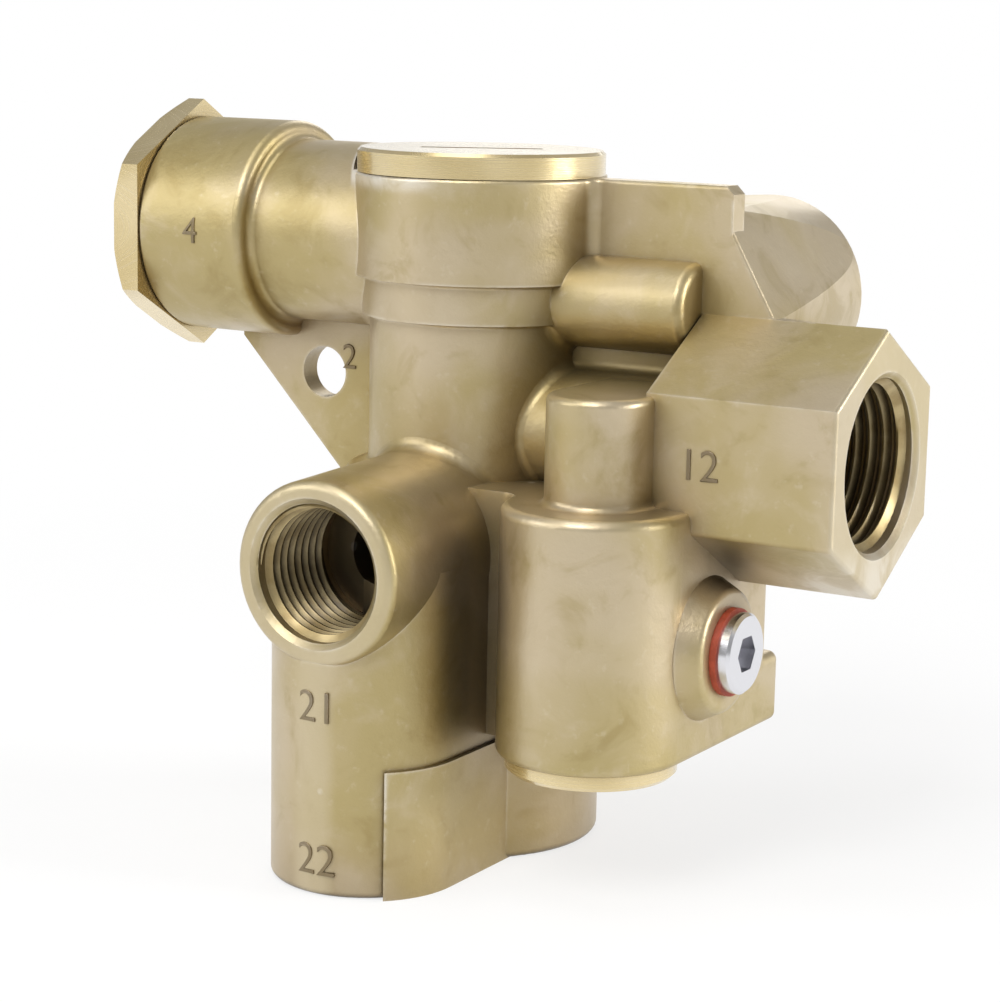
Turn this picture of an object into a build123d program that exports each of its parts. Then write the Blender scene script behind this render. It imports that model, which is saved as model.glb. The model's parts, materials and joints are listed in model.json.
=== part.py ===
from build123d import *
import math
import os

# Brake priority valve. Millimetres, +Z up, foot on Z = 0, main column axis on X = Y = 0.
# +X is the reservoir side, -X the control side, -Y the front delivery side.

# Main column
COLUMN_R = 13.5          # slim middle
STEP = 1.0               # the band, and again the crown, stand out by this
BASE_STEP = 2.8          # the thick lower body stands out by this
BASE_H = 46.6            # shoulder of the lower body and of the round chamber
UPPER_H = 36.3           # from that shoulder to the top of the casting
CROWN_H = 12.6
BAND_H = 4.8

# Control cylinder, along -X
CONTROL_DROP = 8.5       # its axis below the top of the casting
CONTROL_R = 13.8
CONTROL_STEP = 2.3       # its neck is slimmer by this
CONTROL_NECK = 26.9      # column axis to the shoulder
CONTROL_DRUM = 15.8      # length of the thick end
CONTROL_HEX = 27.8       # across flats of the hexagon plug
CONTROL_HEX_T = 3.8

# Reservoir hexagon, along +X
RES_RISE = 5.35          # its axis above the shoulder
RES_HEX = 27.4
RES_BACK = 31.0
RES_LENGTH = 23.7
RES_NECK_R = 8.0

# Delivery boss, along -Y, and the lobe below it
DEL_DROP = 8.2           # its axis below the shoulder
DEL_END = 35.6
DEL_R = 10.9             # rim of the boss
DEL_DRAFT = 1.0          # wider by this where it meets the column
LOBE_Y = 24.0
LOBE_R = 11.4
PAD_T = 0.6              # raised pad low on the right of the lobe
PAD_H = 15.5
PAD_X = 8.3

# Priority chamber with its hub, and the block that carries them
CHAMBER_X = 25.9
CHAMBER_Y = -15.3
CHAMBER_R = 11.3
CHAMBER_H = 29.8         # underside to shoulder
HUB_R = 6.25
HUB_GAP = 3.1            # clear height between hub and bridge
BLOCK_BACK = 8.5         # how far the block runs behind the column axis
FLANGE_T = 3.5           # how far the low flange runs behind the block
FLANGE_H = 8.7

# Web plate and gusset
PLATE_T = 3.0
PLATE_X = 34.5           # right edge
PLATE_CORNER = 1.0
PLATE_FLARE = 2.3        # the plate is wider by this below the bridge
PLATE_SINK = 1.0         # how far its lower rim is sunk in the delivery boss
BRACKET_X = -23.2
BRACKET_RISE = 9.6       # bracket hole above the shoulder
BRACKET_HOLE = 6.6
GUSSET_X = -36.1
GUSSET_RISE = 13.4

# Bridge and rear port, along +Y
BRIDGE_DROP = 14.7       # axis below the top
BRIDGE_R = 5.6
BRIDGE_END = 30.8
REAR_DROP = 0.5          # axis of the rear port below that of the bridge
REAR_HEX = 24.8
REAR_END = 30.0
REAR_ROOT_R = 14.5

# Socket plug on the right of the block
PLUG_Y = -8.3
PLUG_DROP = 16.9         # its axis below the shoulder
PLUG_BOSS_R = 7.2
PLUG_BOSS_ROOT_R = 8.6
PLUG_BOSS_L = 2.8
PLUG_R = 4.8
PLUG_T = 1.5
PLUG_EDGE = 0.35
PLUG_SHANK_R = 4.2
PLUG_SHANK = 5.0
PLUG_SEAL_R = 5.2
PLUG_SEAL_T = 0.8
PLUG_SOCKET = 4.0
PLUG_SOCKET_DEPTH = 3.0

# Rounding of the casting
WIDE = 1.6
ROUND = 1.2
SMALL = 0.9
EDGE = 0.5

# Ports
RES_BORE_R = 10.2        # root of the reservoir thread
DEL_BORE_R = 8.2         # root of the delivery thread
CONTROL_BORE_R = 6.6     # root of the control thread
RES_DEPTH = 19.0
DEL_DEPTH = 15.0
CONTROL_DEPTH = 12.0
COUNTERSINK = 0.7        # how much wider the mouth is than the thread root
PASSAGE_R = 3.5          # cast air passages
PASSAGE_WIDE_R = 4.5
DRILL_R = 2.5            # drilled air passages

# Walls
CROWN_WALL = 3.1         # round the control piston
BASE_WALL = 3.8          # round the exhaust seat
COLUMN_WALL = 4.0        # round the stem guide
DRUM_WALL = 3.6          # round the control plug
CHAMBER_WALL = 2.0       # round the priority piston

# Control piston
PISTON_DEPTH = 16.4      # stop of the piston below the top of the casting
PISTON_T = 4.6
PISTON_STROKE = 2.5
PISTON_DISH_R = 8.4
PISTON_DISH = 0.8
WELL_R = 8.5             # well of the return spring
SPRING_POCKET = 1.2      # how deep the spring sits in the piston
SPRING_ROOM = 0.5        # clear width round the spring pocket
GUIDE_W = 5.5            # wall of the stem guide
STEM_COLLAR = 0.8
RETURN_COIL_R = 6.3
RETURN_WIRE = 1.3

# Reservoir gallery round the stem, and the walls above and below it
GALLERY_R = 7.0
GALLERY_H = 8.5
GALLERY_RISE = 0.4       # its floor above the shoulder
GALLERY_ROOF = 4.0
GUIDE_T = 3.5

# Exhaust valve, its seat and its flap
EXHAUST_BORE_H = 27.0
EXHAUST_LIP_Z = 25.2     # top of the exhaust seat
EXHAUST_LIP_R = 5.4
EXHAUST_LIP_T = 1.6
EXHAUST_FOOT = 10.0      # underside of the exhaust seat body
SEAT_FLOOR_Z = 19.0
SEAT_FLOOR_T = 4.0
SEAT_CUP_T = 3.0
SEAT_SKIRT_T = 2.0
VALVE_R = 7.5
VALVE_T = 3.5
FACE_T = 1.5
FACE_R = 7.3
FACE_HOLE = 3.6
SCREW_R = 1.5
SCREW_HEAD_R = 3.3
SCREW_SINK = 0.2
SCREW_SLOT = 0.8
SCREW_REACH = 7.0        # how far the screw goes into the stem
SCREW_ROOM = 1.0
SPIDER_RISE = 3.0        # arms that hold the flap, above the foot of the seat
SPIDER_T = 2.5
SPIDER_RIM_T = 3.0
SPIDER_HUB_R = 3.2
SPIDER_ARM_W = 2.0
SPIDER_ARMS = 3
FLAP_ROOM = 0.56         # clear width round the flap
FLAP_T = 1.2
FLAP_GAP = 0.1
FLAP_STEM_R = 1.4
FLAP_KNOB_R = 2.1
FLAP_KNOB_T = 1.8
FLAP_KNOB_TIP_R = 1.0
CLIP_T = 1.3             # retaining ring
CLIP_GROOVE = 0.8
CLIP_W = 1.9
CLIP_GAP = 5.0
CLIP_EAR_R = 1.7
CLIP_EAR_X = 4.3
CLIP_EAR_IN = 2.9
CLIP_HOLE_R = 0.8

# Priority piston and check valve
PRIORITY_TOP_DROP = 3.6  # ceiling of the chamber below the shoulder
PRIORITY_STROKE = 2.3
PRIORITY_SKIRT = 4.6
PRIORITY_CROWN_R = 6.5
PRIORITY_CROWN_LIP = 0.4
PRIORITY_FACE_R = 5.6
PRIORITY_FACE_T = 1.7
PRIORITY_CROWN_T = 4.2
PRIORITY_WELL_R = 5.2
PRIORITY_COIL_R = 4.3
PRIORITY_WIRE = 1.2
HUB_BORE_R = 4.4         # check valve bore in the hub
HUB_ROOF = 2.5
SEAT_R = 5.5             # seat between chamber and hub
SEAT_T = 4.0
SEAT_HOLE_R = 2.6
CHECK_STROKE = 1.6
CHECK_R = 3.6
CHECK_T = 1.2
CHECK_STEM_R = 1.4
CHECK_FACE_R = 3.5
CHECK_FACE_T = 1.0
CHECK_COIL_R = 2.4
CHECK_WIRE = 0.6

# Control plug and strainer
CONTROL_BORE_L = 14.7    # depth of the wide bore in the control cylinder
PLUG_SPACE = 3.0         # the plug ends this far short of its floor
CONTROL_SEAL_IN = 5.0
CONTROL_WAY_R = 5.0
HEX_CHAMFER_R = 0.3
HEX_CHAMFER_RISE = 5.2
STRAINER_BORE_R = 8.0
STRAINER_BORE_L = 9.0
AIR_DRILL_R = 2.2
AIR_RISE = 2.1
STRAINER_GAP = 0.6
STRAINER_RIM = 0.2
STRAINER_T = 0.8
STRAINER_R = 6.4
STRAINER_WALL = 0.6
STRAINER_L = 6.0
STRAINER_HOLE_R = 3.0
STRAINER_SLOTS = 8
STRAINER_SLOT_W = 1.8
STRAINER_SLOT_L = 3.0
STRAINER_COIL_R = 7.1
STRAINER_WIRE = 0.9

# Caps
CAP_INSET = 0.2          # the top cap is smaller than the crown by this
CAP_T = 3.0
CAP_SPIGOT = 4.0
CAP_EDGE = 0.4
CAP_SLOT = 15.0
CAP_SLOT_W = 1.8
CAP_SLOT_DEPTH = 1.0
CAP_SLOT_TURN = 34
CAP_FACE = 0.5           # width of the spot face round the cap
CHAMBER_CAP_R = 10.2
CHAMBER_CAP_T = 1.9
CHAMBER_CAP_SPIGOT = 3.3
CHAMBER_CAP_EDGE = 0.5
CHAMBER_CAP_SLOT = 10.0
BREATHER_R = 1.0

# Fits
RUN = 0.05               # radial clearance of sliding fits
SLIP = 0.04              # radial clearance of pieces that are put in and stay
LIFT = 0.3               # gap between a resting valve face and its seat
CORD = 0.9               # radius of the round seal cord
SNUG = 0.02              # clearance round a seal cord

BOTTOM = (Align.CENTER, Align.CENTER, Align.MIN)

# Heights and radii that follow from those above
COLUMN_H = BASE_H + UPPER_H
CROWN_Z = COLUMN_H - CROWN_H
BAND_Z = CROWN_Z - BAND_H
BAND_R = COLUMN_R + STEP
CROWN_R = BAND_R + STEP
BASE_R = COLUMN_R + BASE_STEP
CONTROL_Z = COLUMN_H - CONTROL_DROP
CONTROL_END = CONTROL_NECK + CONTROL_DRUM
CONTROL_NECK_R = CONTROL_R - CONTROL_STEP
CONTROL_MOUTH = CONTROL_END + CONTROL_HEX_T
CHAMBER_Z = BASE_H - CHAMBER_H
RES_Z = BASE_H + RES_RISE
RES_END = RES_BACK + RES_LENGTH
DEL_Z = BASE_H - DEL_DROP
DEL_ROOT_R = DEL_R + DEL_DRAFT
BLOCK_X = CHAMBER_X + CHAMBER_R
FLANGE_BACK = BLOCK_BACK + FLANGE_T
FLANGE_TOP = CHAMBER_Z + FLANGE_H
BRIDGE_Z = COLUMN_H - BRIDGE_DROP
REAR_Z = BRIDGE_Z - REAR_DROP
HUB_TOP = BRIDGE_Z - BRIDGE_R - HUB_GAP
BRACKET_Z = BASE_H + BRACKET_RISE
GUSSET_Z = BASE_H + GUSSET_RISE
PLUG_Z = BASE_H - PLUG_DROP
PLUG_BOSS_END = BLOCK_X + PLUG_BOSS_L
PISTON_BORE_R = CROWN_R - CROWN_WALL
EXHAUST_BORE_R = BASE_R - BASE_WALL
VALVE_BORE_R = COLUMN_R - COLUMN_WALL
CONTROL_BORE_IN_R = CONTROL_R - DRUM_WALL
STEM_R = VALVE_BORE_R - GUIDE_W
PRIORITY_BORE_R = CHAMBER_R - CHAMBER_WALL
PISTON_FLOOR = COLUMN_H - PISTON_DEPTH
PISTON_Z = PISTON_FLOOR + PISTON_STROKE + LIFT
PISTON_TOP = PISTON_Z + PISTON_T
GALLERY_FLOOR = BASE_H + GALLERY_RISE
GALLERY_TOP = GALLERY_FLOOR + GALLERY_H
WELL_FLOOR = GALLERY_TOP + GALLERY_ROOF
STEM_SEAL_Z = (GALLERY_TOP + WELL_FLOOR) / 2
GUIDE_Z = GALLERY_FLOOR - GUIDE_T
EXHAUST_FACE_Z = EXHAUST_LIP_Z + PISTON_STROKE + LIFT
VALVE_Z = EXHAUST_FACE_Z + FACE_T
STEM_END = VALVE_Z + VALVE_T
SEAT_SEAL_Z = SEAT_FLOOR_Z + SEAT_FLOOR_T / 2
SEAT_OUT_R = EXHAUST_BORE_R - SLIP
SPIDER_Z = EXHAUST_FOOT + SPIDER_RISE
FLAP_R = SEAT_OUT_R - SEAT_SKIRT_T - FLAP_ROOM
PRIORITY_TOP = BASE_H - PRIORITY_TOP_DROP
CHAMBER_CAP_TOP = CHAMBER_Z + CHAMBER_CAP_SPIGOT
PRIORITY_Z = CHAMBER_CAP_TOP + PRIORITY_STROKE + LIFT
PRIORITY_FACE_Z = PRIORITY_TOP - LIFT
SEAT_TOP = PRIORITY_TOP + SEAT_T
CHECK_Z = SEAT_TOP + LIFT
CHECK_TOP = CHECK_Z + CHECK_FACE_T + CHECK_T
HUB_BORE_TOP = HUB_TOP - HUB_ROOF
CONTROL_FLOOR = CONTROL_END - CONTROL_BORE_L
STRAINER_FLOOR = CONTROL_FLOOR - STRAINER_BORE_L
STRAINER_MOUTH = CONTROL_FLOOR + PLUG_SPACE - STRAINER_GAP
CAP_R = CROWN_R - CAP_INSET
CAP_TOP = COLUMN_H + CAP_T


def rod_z(r, z0, z1, x=0, y=0):
    return Pos(x, y, z0) * Cylinder(r, z1 - z0, align=BOTTOM)


def rod_x(r, x0, x1, y=0, z=0):
    return Pos(x0, y, z) * Rot(0, 90, 0) * Cylinder(r, x1 - x0, align=BOTTOM)


def rod_y(r, y0, y1, x=0, z=0):
    return Pos(x, y0, z) * Rot(-90, 0, 0) * Cylinder(r, y1 - y0, align=BOTTOM)


def taper_z(r0, r1, z0, z1, x=0, y=0):
    return Pos(x, y, z0) * Cone(r0, r1, z1 - z0, align=BOTTOM)


def taper_x(r0, r1, x0, x1, y=0, z=0):
    return Pos(x0, y, z) * Rot(0, 90, 0) * Cone(r0, r1, x1 - x0, align=BOTTOM)


def taper_y(r0, r1, y0, y1, x=0, z=0):
    return Pos(x, y0, z) * Rot(-90, 0, 0) * Cone(r0, r1, y1 - y0, align=BOTTOM)


def block(x0, x1, y0, y1, z0, z1):
    middle = Pos((x0 + x1) / 2, (y0 + y1) / 2, (z0 + z1) / 2)
    return middle * Box(x1 - x0, y1 - y0, z1 - z0)


def hex_bar(flats, length):
    return extrude(RegularPolygon(flats / 2, 6, major_radius=False, rotation=30), length)


def hex_x(flats, x0, x1, z):
    return Pos(x0, 0, z) * Rot(0, 90, 0) * Rot(0, 0, 30) * hex_bar(flats, x1 - x0)


def cord_ring(bore, x=0, y=0, z=0):
    """Seal cord that sits against a bore of the given radius."""
    return Pos(x, y, z) * Torus(bore - CORD - SNUG, CORD)


def cord_groove(bore, x=0, y=0, z=0):
    """Groove for that cord, cut into the piece inside the bore."""
    half = CORD + SNUG * 2
    low, high = z - half, z + half
    return rod_z(bore + CORD, low, high, x, y) - rod_z(bore - 2 * half, low, high, x, y)


def inner_cord_ring(shaft, z):
    """Seal cord that sits round a shaft of the given radius."""
    return Pos(0, 0, z) * Torus(shaft + CORD + SNUG, CORD)


def inner_cord_groove(shaft, z):
    half = CORD + SNUG * 2
    return rod_z(shaft + 2 * half, z - half, z + half)


def coil(radius, wire, turns, z0, z1):
    height = z1 - z0 - wire
    path = Helix(pitch=height / turns, height=height, radius=radius)
    return Pos(0, 0, z0 + wire / 2) * sweep(Plane(path ^ 0) * Circle(wire / 2), path=path)


def near(shape, x, y, z):
    """The edge of a shape that passes closest to one point."""
    return shape.edges().sort_by_distance((x, y, z))[0]


def blend(shape, radius, *spots):
    """Round the edges that pass closest to the given points, all in one go."""
    return fillet([near(shape, *spot) for spot in spots], radius)


def column():
    body = rod_z(COLUMN_R, 0, COLUMN_H)
    body += rod_z(BAND_R, BAND_Z, COLUMN_H)
    body += rod_z(CROWN_R, CROWN_Z, COLUMN_H)
    return body + rod_z(BASE_R, 0, BASE_H)


def control_cylinder():
    drum = rod_x(CONTROL_R, -CONTROL_END, -CONTROL_NECK, 0, CONTROL_Z)
    return drum + rod_x(CONTROL_NECK_R, -CONTROL_NECK, 0, 0, CONTROL_Z)


def reservoir_boss():
    bar = hex_x(RES_HEX, RES_BACK, RES_END, RES_Z)
    return bar + rod_x(RES_NECK_R, 0, RES_BACK + WIDE, 0, RES_Z)


def delivery_boss():
    boss = taper_y(DEL_R, DEL_ROOT_R, -DEL_END, -COLUMN_R / 2, 0, DEL_Z)
    boss = blend(boss, ROUND, (0, -DEL_END, DEL_Z + DEL_R))
    lobe = rod_z(LOBE_R, 0, DEL_Z, 0, -LOBE_Y) + block(-LOBE_R, LOBE_R, -LOBE_Y, 0, 0, DEL_Z)
    wide = LOBE_R + PAD_T
    pad = rod_z(wide, 0, PAD_H, 0, -LOBE_Y) + block(0, wide, -LOBE_Y, -COLUMN_R / 2, 0, PAD_H)
    pad &= block(PAD_X, wide + PAD_T, -LOBE_Y - wide, 0, 0, PAD_H)
    return boss + lobe + pad


def priority_boss():
    front_hub = block(CHAMBER_X - HUB_R, CHAMBER_X + HUB_R, CHAMBER_Y, PLATE_T / 3, BASE_H - EDGE, HUB_TOP)
    body = rod_z(CHAMBER_R, CHAMBER_Z, BASE_H, CHAMBER_X, CHAMBER_Y)
    body += block(0, BLOCK_X, CHAMBER_Y, BLOCK_BACK, CHAMBER_Z, BASE_H)
    body += block(CHAMBER_X, BLOCK_X, 0, FLANGE_BACK, CHAMBER_Z, FLANGE_TOP)
    body += rod_z(HUB_R, BASE_H - EDGE, HUB_TOP, CHAMBER_X, CHAMBER_Y)
    return body + front_hub


def web_plate():
    low = DEL_Z + PLATE_SINK
    wide = PLATE_X + PLATE_FLARE
    rim = [(0, COLUMN_H), (PLATE_X - PLATE_CORNER, COLUMN_H), (PLATE_X, COLUMN_H - PLATE_CORNER),
           (PLATE_X, BRIDGE_Z + BRIDGE_R), (wide, BRIDGE_Z), (wide, RES_Z), (0, low),
           (-BASE_R, low), (GUSSET_X, GUSSET_Z), (GUSSET_X, CONTROL_Z - BRIDGE_R), (0, CONTROL_Z - BRIDGE_R)]
    return Rot(90, 0, 0) * extrude(make_face(Polyline(*rim, close=True)), -PLATE_T)


def bridge():
    return blend(rod_x(BRIDGE_R, 0, BRIDGE_END, 0, BRIDGE_Z), ROUND, (BRIDGE_END, -BRIDGE_R, BRIDGE_Z))


def rear_boss():
    bar = Pos(CHAMBER_X, 0, REAR_Z) * Rot(-90, 0, 0) * Rot(0, 0, 30) * hex_bar(REAR_HEX, REAR_END)
    return bar & taper_y(REAR_ROOT_R, REAR_HEX / 2, 0, REAR_END, CHAMBER_X, REAR_Z)


def plug_boss():
    boss = taper_x(PLUG_BOSS_ROOT_R, PLUG_BOSS_R, BLOCK_X, PLUG_BOSS_END, PLUG_Y, PLUG_Z)
    boss = blend(boss, SMALL, (PLUG_BOSS_END, PLUG_Y, PLUG_Z + PLUG_BOSS_R))
    return boss + rod_x(PLUG_BOSS_ROOT_R, BLOCK_X - PLUG_BOSS_R, BLOCK_X, PLUG_Y, PLUG_Z)


def main_bore():
    cut = rod_z(PISTON_BORE_R, PISTON_FLOOR, COLUMN_H)
    cut += rod_z(WELL_R, WELL_FLOOR, PISTON_FLOOR)
    cut += rod_z(STEM_R + RUN, GALLERY_TOP, WELL_FLOOR)
    cut += inner_cord_groove(STEM_R, STEM_SEAL_Z)
    cut += rod_z(GALLERY_R, GALLERY_FLOOR, GALLERY_TOP)
    cut += rod_z(VALVE_BORE_R, EXHAUST_BORE_H, GALLERY_FLOOR)
    cut += rod_z(EXHAUST_BORE_R, 0, EXHAUST_BORE_H)
    cut += rod_z(EXHAUST_BORE_R + CLIP_GROOVE, EXHAUST_FOOT - CLIP_T - SLIP, EXHAUST_FOOT + SLIP)
    return cut + rod_z(CAP_R + CAP_FACE, COLUMN_H, COLUMN_H + CONTROL_NECK_R)


def control_bore():
    cut = rod_x(CONTROL_BORE_IN_R, -CONTROL_END, -CONTROL_FLOOR, 0, CONTROL_Z)
    cut += rod_x(STRAINER_BORE_R, -CONTROL_FLOOR, -STRAINER_FLOOR, 0, CONTROL_Z)
    return cut + rod_x(AIR_DRILL_R, -STRAINER_FLOOR, -PISTON_BORE_R / 2, 0, CONTROL_Z + AIR_RISE)


def reservoir_bore():
    mouth = taper_x(RES_BORE_R, RES_BORE_R + COUNTERSINK, RES_END - COUNTERSINK, RES_END, 0, RES_Z)
    cut = mouth + rod_x(RES_BORE_R, RES_END - RES_DEPTH, RES_END, 0, RES_Z)
    return cut + rod_x(PASSAGE_R, STEM_R, RES_END - RES_DEPTH, 0, RES_Z)


def delivery_bores():
    wide = DEL_BORE_R + COUNTERSINK
    cut = rod_y(DEL_BORE_R, -DEL_END, DEL_DEPTH - DEL_END, 0, DEL_Z)
    cut += taper_y(wide, DEL_BORE_R, -DEL_END, COUNTERSINK - DEL_END, 0, DEL_Z)
    cut += rod_y(PASSAGE_WIDE_R, DEL_DEPTH - DEL_END, 0, 0, DEL_Z)
    cut += rod_z(DEL_BORE_R, 0, DEL_DEPTH, 0, -LOBE_Y)
    cut += taper_z(wide, DEL_BORE_R, 0, COUNTERSINK, 0, -LOBE_Y)
    return cut + rod_z(PASSAGE_WIDE_R, DEL_DEPTH, DEL_Z, 0, -LOBE_Y)


def rear_bore():
    wide = DEL_BORE_R + COUNTERSINK
    cut = rod_y(DEL_BORE_R, REAR_END - DEL_DEPTH, REAR_END, CHAMBER_X, REAR_Z)
    cut += taper_y(DEL_BORE_R, wide, REAR_END - COUNTERSINK, REAR_END, CHAMBER_X, REAR_Z)
    cut += rod_y(DRILL_R, 0, REAR_END - DEL_DEPTH, CHAMBER_X, REAR_Z)
    return cut + rod_x(DRILL_R, WELL_R - DRILL_R / 2, CHAMBER_X, 0, BRIDGE_Z)


def priority_bore():
    cut = rod_z(PRIORITY_BORE_R, CHAMBER_Z - EDGE, PRIORITY_TOP, CHAMBER_X, CHAMBER_Y)
    cut += rod_z(SEAT_R, PRIORITY_TOP, SEAT_TOP, CHAMBER_X, CHAMBER_Y)
    cut += rod_z(HUB_BORE_R, SEAT_TOP, HUB_BORE_TOP, CHAMBER_X, CHAMBER_Y)
    cut += rod_y(PASSAGE_R, CHAMBER_Y, 0, CHAMBER_X, RES_Z)
    cut += rod_x(DRILL_R, DRILL_R, PLUG_BOSS_END, PLUG_Y, PLUG_Z)
    return cut + rod_x(PLUG_SHANK_R, PLUG_BOSS_END - PLUG_SHANK, PLUG_BOSS_END, PLUG_Y, PLUG_Z)


def round_column(body):
    body = blend(body, WIDE, (CROWN_R, 0, (CROWN_Z + COLUMN_H) / 2))
    return blend(body, ROUND, (COLUMN_R, -BRIDGE_R / 2, BRIDGE_Z - BRIDGE_R))


def round_ports(body):
    body = blend(body, ROUND, ((COLUMN_R + RES_BACK) / 2, 0, RES_Z + RES_NECK_R),
                 (COLUMN_R - COLUMN_R / 8, -RES_NECK_R + EDGE * 2, RES_Z + RES_NECK_R / 2))
    body = blend(body, WIDE, (0, -COLUMN_R, DEL_Z + DEL_ROOT_R))
    body = blend(body, WIDE, (-COLUMN_R + EDGE * 2, -COLUMN_R / 3, CONTROL_Z - CONTROL_NECK_R + EDGE * 2))
    body = blend(body, CONTROL_STEP / 2, (-CONTROL_NECK, -CONTROL_R, CONTROL_Z))
    return blend(body, CONTROL_STEP * 2 / 5, (-CONTROL_NECK, -CONTROL_NECK_R, CONTROL_Z))


def round_chamber(body):
    front = CHAMBER_Y - CHAMBER_R
    hub_front = CHAMBER_Y - HUB_R
    left, right = CHAMBER_X - HUB_R, CHAMBER_X + HUB_R
    beside, behind = CHAMBER_Y + HUB_R / 6, CHAMBER_Y + HUB_R
    body = blend(body, SMALL, (CHAMBER_X, hub_front, HUB_TOP), (left, behind, HUB_TOP), (right, beside, HUB_TOP))
    body = blend(body, ROUND, (CHAMBER_X, front, BASE_H), (BLOCK_X, beside, BASE_H))
    body = blend(body, SMALL, (CHAMBER_X, hub_front, BASE_H), (left, behind, BASE_H), (right, beside, BASE_H))
    body = blend(body, SMALL, (CHAMBER_X, front, CHAMBER_Z), (BLOCK_X, -DRILL_R, CHAMBER_Z))
    return blend(body, WIDE, (CHAMBER_X - CHAMBER_R, CHAMBER_Y, (CHAMBER_Z + BASE_H) / 2))


def round_base(body):
    left, back = -LOBE_R, -math.sqrt(BASE_R ** 2 - LOBE_R ** 2)
    low_x, low_y = -LOBE_R / 3, -LOBE_Y - LOBE_R * math.sqrt(8) / 3
    body = blend(body, BASE_STEP / 3, (-BASE_R * math.cos(math.pi / 6), -BASE_R / 2, BASE_H))
    body = blend(body, BASE_STEP / 3, (-BASE_R / 6, BASE_R, BASE_H))
    body = blend(body, WIDE, (left, back, DEL_Z + BASE_STEP))
    body = blend(body, WIDE, (left, back, DEL_Z / 2))
    return blend(body, SMALL, (0, BASE_R, 0), (low_x, low_y, 0))


def round_block(body):
    low = (CHAMBER_Z + FLANGE_TOP) / 2
    body = blend(body, WIDE, (BLOCK_X, BLOCK_BACK, (FLANGE_TOP + BASE_H) / 2))
    body = blend(body, ROUND, ((CHAMBER_X + BLOCK_X) / 2, FLANGE_BACK, FLANGE_TOP))
    body = blend(body, ROUND, (BLOCK_X, FLANGE_BACK, low))
    return blend(body, ROUND, (CHAMBER_X, BLOCK_BACK, low))


def round_hexagon(body):
    flat = RES_HEX / 2
    middle = (RES_BACK + RES_END) / 2
    body = fillet(body.edges().filter_by_position(Axis.X, RES_END - EDGE / 2, RES_END), EDGE)
    body = blend(body, SMALL, (middle, 0, RES_Z - flat / math.cos(math.pi / 6)))
    return blend(body, SMALL, (middle, -flat, RES_Z - flat / math.sqrt(3)))


def round_edges(body):
    body = blend(body, STEP / 2, (0, -CROWN_R, COLUMN_H))
    body = blend(body, STEP / 2, (0, -BAND_R, CROWN_Z))
    body = blend(body, STEP / 2, (0, -COLUMN_R, BAND_Z))
    body = blend(body, EDGE, (PLATE_X, 0, (BRIDGE_Z + COLUMN_H) / 2))
    return blend(body, EDGE, (-CONTROL_END, -CONTROL_R, CONTROL_Z))


def casting():
    body = column() + web_plate() + control_cylinder() + delivery_boss()
    body += priority_boss() + reservoir_boss()
    body += bridge() + rear_boss() + plug_boss()
    for soften in (round_column, round_ports, round_chamber, round_base, round_block, round_hexagon, round_edges):
        body = soften(body)
    return body.clean()


def housing():
    body = casting()
    for cut in (priority_bore(), main_bore(), control_bore(), reservoir_bore(), delivery_bores(), rear_bore()):
        body -= cut
    return body - rod_y(BRACKET_HOLE / 2, -PLATE_T, PLATE_T * 2, BRACKET_X, BRACKET_Z)


def top_cap():
    body = rod_z(CAP_R, COLUMN_H, CAP_TOP)
    body = chamfer(body.edges().group_by(Axis.Z)[-1], CAP_EDGE)
    body += rod_z(PISTON_BORE_R - SLIP, COLUMN_H - CAP_SPIGOT, COLUMN_H)
    body -= cord_groove(PISTON_BORE_R, 0, 0, COLUMN_H - CAP_SPIGOT / 2)
    body += rod_z(STEM_R, PISTON_TOP + LIFT, COLUMN_H - CAP_SPIGOT)
    half, across = CAP_SLOT / 2, CAP_SLOT_W / 2
    slot = block(-half, half, -across, across, CAP_TOP - CAP_SLOT_DEPTH, CAP_TOP)
    return body - Rot(0, 0, CAP_SLOT_TURN) * slot


def control_piston():
    pocket_top = PISTON_Z + SPRING_POCKET
    body = rod_z(PISTON_BORE_R - RUN, PISTON_Z, PISTON_TOP)
    body -= cord_groove(PISTON_BORE_R, 0, 0, PISTON_Z + PISTON_T / 2)
    body -= rod_z(WELL_R - SPRING_ROOM, PISTON_Z, pocket_top) - rod_z(STEM_R + STEM_COLLAR, PISTON_Z, pocket_top)
    body -= rod_z(PISTON_DISH_R, PISTON_TOP - PISTON_DISH, PISTON_TOP)
    body += rod_z(STEM_R, STEM_END, PISTON_TOP)
    return body - rod_z(SCREW_R + SLIP, STEM_END, STEM_END + SCREW_REACH + SCREW_ROOM)


def exhaust_valve():
    return rod_z(VALVE_R, VALVE_Z, STEM_END) - rod_z(SCREW_R + SLIP, VALVE_Z, STEM_END)


def exhaust_face():
    return rod_z(FACE_R, EXHAUST_FACE_Z, VALVE_Z) - rod_z(FACE_HOLE, EXHAUST_FACE_Z, VALVE_Z)


def valve_screw():
    low = EXHAUST_FACE_Z + SCREW_SINK
    across = SCREW_SLOT / 2
    head = rod_z(SCREW_HEAD_R, low, VALVE_Z)
    head -= block(-SCREW_HEAD_R, SCREW_HEAD_R, -across, across, EXHAUST_FACE_Z, low + SCREW_SLOT)
    return head + rod_z(SCREW_R, VALVE_Z, STEM_END + SCREW_REACH)


def stem_guide():
    middle = GUIDE_Z + GUIDE_T / 2
    body = rod_z(VALVE_BORE_R - SLIP, GUIDE_Z, GALLERY_FLOOR) - cord_groove(VALVE_BORE_R, 0, 0, middle)
    return body - rod_z(STEM_R + RUN, GUIDE_Z, GALLERY_FLOOR) - inner_cord_groove(STEM_R, middle)


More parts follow.
